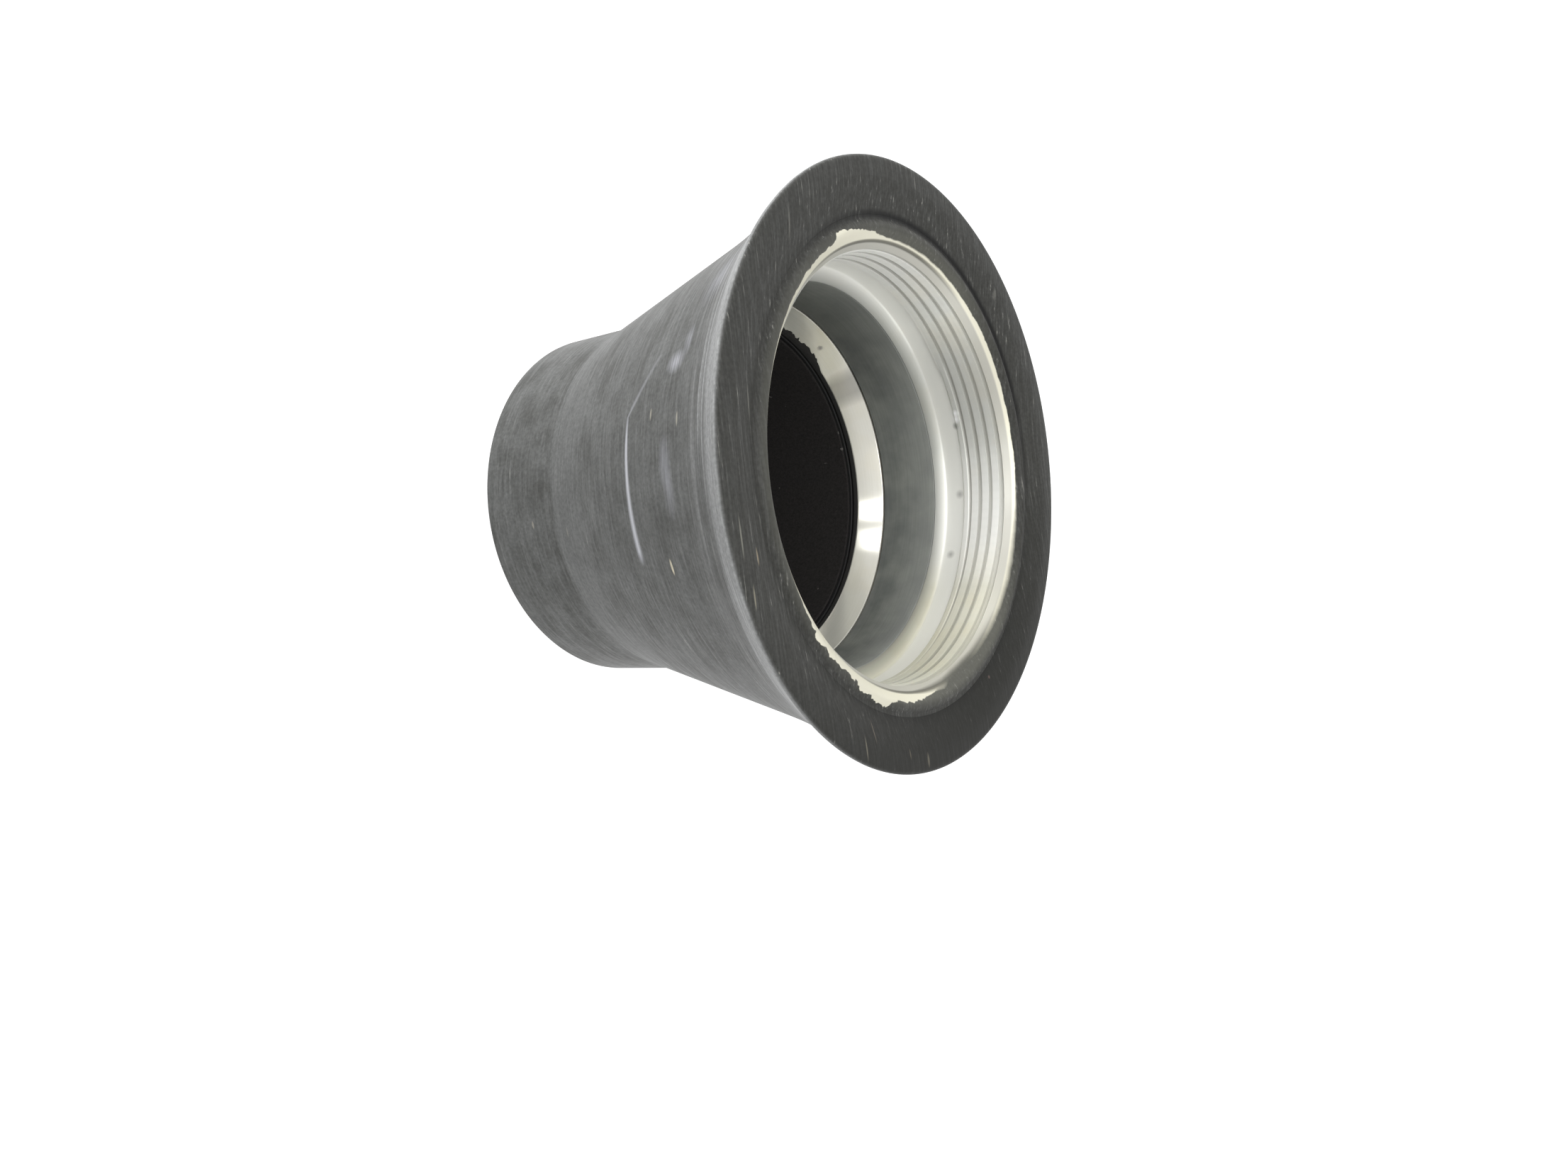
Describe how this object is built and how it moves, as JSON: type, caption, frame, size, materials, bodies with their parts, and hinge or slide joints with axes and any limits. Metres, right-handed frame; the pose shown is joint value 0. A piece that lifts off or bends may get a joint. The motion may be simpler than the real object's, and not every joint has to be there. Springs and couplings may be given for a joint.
{
  "type": "snoot",
  "caption": "Flared dark metal snoot: a screwed-in threaded collar takes the lamp at the wide mouth and clamps a ring stack over a black-lined nozzle that narrows the beam.",
  "frame": {"origin": "centre of the nozzle's end face, on the axis of the horn", "axes": "+Z along the axis from the nozzle to the mouth; X and Y are alike"},
  "size_m": [0.09, 0.09, 0.0628],
  "materials": {
    "shell_coat": "worn satin black coat over turned aluminium",
    "bare_collar": "bare turned thread, coated lip",
    "o_ring_rubber": "moulded",
    "sleeve_anodise": "dark grey anodise",
    "bare_ring": "bare turned bevel",
    "gasket_rubber": "cut from sheet",
    "liner_anodise": "matt black anodise",
    "black_flock": "short black flock"
  },
  "bodies": {
    "shell": {"bell_shell": "shell_coat", "spacer_sleeve": "sleeve_anodise", "throat_ring": "bare_ring", "seat_gasket": "gasket_rubber", "liner_tube": "liner_anodise", "flock_lining": "black_flock"},
    "collar_seal": {"collar_o_ring": "o_ring_rubber"},
    "collar": {"lamp_collar": "bare_collar"}
  },
  "joints": [
    {"name": "collar_rise", "type": "slide", "parent": "shell", "child": "collar_seal", "axis": [0, 0, 1], "range_m": [0, 0.008]},
    {"name": "collar_turn", "type": "hinge", "parent": "collar_seal", "child": "collar", "pos_m": [0, 0, 0.0534], "axis": [0, 0, 1], "range_deg": [0, 1440]}
  ],
  "couplings": [
    {"joint": "collar_rise", "follows": "collar_turn", "m_per_rad": 0.00031831}
  ]
}
